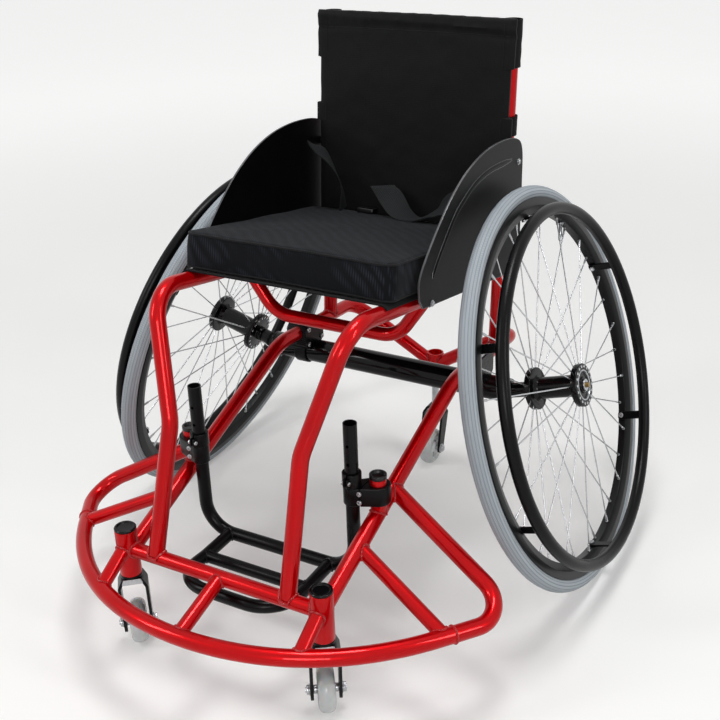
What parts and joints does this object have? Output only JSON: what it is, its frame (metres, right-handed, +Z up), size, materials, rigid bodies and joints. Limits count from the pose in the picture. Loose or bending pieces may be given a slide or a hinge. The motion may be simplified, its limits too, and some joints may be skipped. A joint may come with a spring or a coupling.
{
  "type": "basketball wheelchair",
  "caption": "Rigid-frame basketball wheelchair: bent tube frame with bumper and side wings, cambered spoked wheels, swivelling casters, sliding footrest, cushion and fabric back.",
  "frame": {"origin": "on the floor under the middle of the chair's bounding box", "axes": "+Z up, the chair faces -Y, +X is the sitter's left"},
  "size_m": [0.815, 0.8886, 0.798],
  "materials": {
    "red_gloss": "gloss paint",
    "black_gloss": "gloss black",
    "black_satin": "satin black",
    "black_rim": "black anodised",
    "bright_steel": "bright",
    "grey_tyre": "matt, light grey",
    "grey_wheel": "translucent grey polyurethane",
    "charcoal_sheet": "satin",
    "cushion_cloth": "fine ribbed cloth",
    "back_cloth": "woven nylon",
    "webbing": "woven webbing"
  },
  "bodies": {
    "frame": {"axle_clamp_left": "black_satin", "axle_clamp_right": "black_satin", "axle_tube": "black_gloss", "back_cane_left": "red_gloss", "back_cane_right": "red_gloss", "back_upholstery": "back_cloth", "belt_adjuster": "black_gloss", "belt_strap_left": "webbing", "belt_strap_right": "webbing", "bumper_arc": "red_gloss", "camber_plug_left": "black_gloss", "camber_plug_right": "black_gloss", "caster_barrel_left": "red_gloss", "caster_barrel_right": "red_gloss", "caster_cap_left": "black_gloss", "caster_cap_right": "black_gloss", "centre_brace": "red_gloss", "cushion": "cushion_cloth", "footrest_clamp_left": "black_satin", "footrest_clamp_right": "black_satin", "footrest_collar_left": "black_satin", "footrest_collar_right": "black_satin", "front_cross_tube": "red_gloss", "lower_rail_left": "red_gloss", "lower_rail_right": "red_gloss", "quick_release_axle_left": "bright_steel", "quick_release_axle_right": "bright_steel", "rear_barrel": "red_gloss", "seat_cross_tube": "red_gloss", "seat_rail_left": "red_gloss", "seat_rail_right": "red_gloss", "seat_sling": "back_cloth", "side_guard_left": "charcoal_sheet", "side_guard_right": "charcoal_sheet", "stub_plug_left": "black_gloss", "stub_plug_right": "black_gloss", "wing_brace_left": "red_gloss", "wing_brace_right": "red_gloss", "wing_loop_left": "red_gloss", "wing_loop_right": "red_gloss"},
    "wheel_left": {"tyre_left": "grey_tyre", "rim_left": "black_rim", "hub_left": "black_gloss", "pushrim_left": "black_satin"},
    "button_left": {"release_button_left": "bright_steel"},
    "caster_left": {"caster_fork_left": "black_satin", "caster_axle_left": "bright_steel"},
    "front_wheel_left": {"caster_wheel_left": "grey_wheel"},
    "wheel_right": {"tyre_right": "grey_tyre", "rim_right": "black_rim", "hub_right": "black_gloss", "pushrim_right": "black_satin"},
    "button_right": {"release_button_right": "bright_steel"},
    "caster_right": {"caster_fork_right": "black_satin", "caster_axle_right": "bright_steel"},
    "front_wheel_right": {"caster_wheel_right": "grey_wheel"},
    "rear_swivel": {"rear_fork": "black_satin", "rear_caster_axle": "bright_steel"},
    "rear_roller": {"rear_caster_wheel": "grey_wheel"},
    "footrest": {"footrest_frame": "black_satin"}
  },
  "joints": [
    {"name": "wheel_spin_left", "type": "hinge", "parent": "frame", "child": "wheel_left", "pos_m": [0.28883, 0.14355, 0.28893], "axis": [0.9583, 0, 0.2857], "continuous": true},
    {"name": "button_press_left", "type": "slide", "parent": "frame", "child": "button_left", "axis": [-0.9583, 0, -0.2857], "range_m": [0, 0.003], "stiffness_N_per_m": 1500, "springref_m": -0.0015},
    {"name": "wheel_spin_right", "type": "hinge", "parent": "frame", "child": "wheel_right", "pos_m": [-0.28883, 0.14355, 0.28893], "axis": [-0.9583, 0, 0.2857], "continuous": true},
    {"name": "button_press_right", "type": "slide", "parent": "frame", "child": "button_right", "axis": [0.9583, 0, -0.2857], "range_m": [0, 0.003], "stiffness_N_per_m": 1500, "springref_m": -0.0015},
    {"name": "caster_swivel_left", "type": "hinge", "parent": "frame", "child": "caster_left", "pos_m": [0.1555, -0.33645, 0.12], "axis": [0, 0, 1], "continuous": true},
    {"name": "caster_roll_left", "type": "hinge", "parent": "caster_left", "child": "front_wheel_left", "pos_m": [0.14976, -0.32826, 0.0321], "axis": [0.8192, 0.5736, 0], "continuous": true},
    {"name": "caster_swivel_right", "type": "hinge", "parent": "frame", "child": "caster_right", "pos_m": [-0.1555, -0.33645, 0.12], "axis": [0, 0, 1], "continuous": true},
    {"name": "caster_roll_right", "type": "hinge", "parent": "caster_right", "child": "front_wheel_right", "pos_m": [-0.16193, -0.32879, 0.0321], "axis": [0.766, 0.6428, 0], "continuous": true},
    {"name": "rear_swivel_turn", "type": "hinge", "parent": "frame", "child": "rear_swivel", "pos_m": [0, 0.32455, 0.12], "axis": [0, 0, 1], "continuous": true},
    {"name": "rear_roll", "type": "hinge", "parent": "rear_swivel", "child": "rear_roller", "pos_m": [0, 0.30555, 0.0321], "axis": [1, 0, 0], "continuous": true},
    {"name": "footrest_height", "type": "slide", "parent": "frame", "child": "footrest", "axis": [0, 0, 1], "range_m": [-0.065, 0.014]}
  ]
}
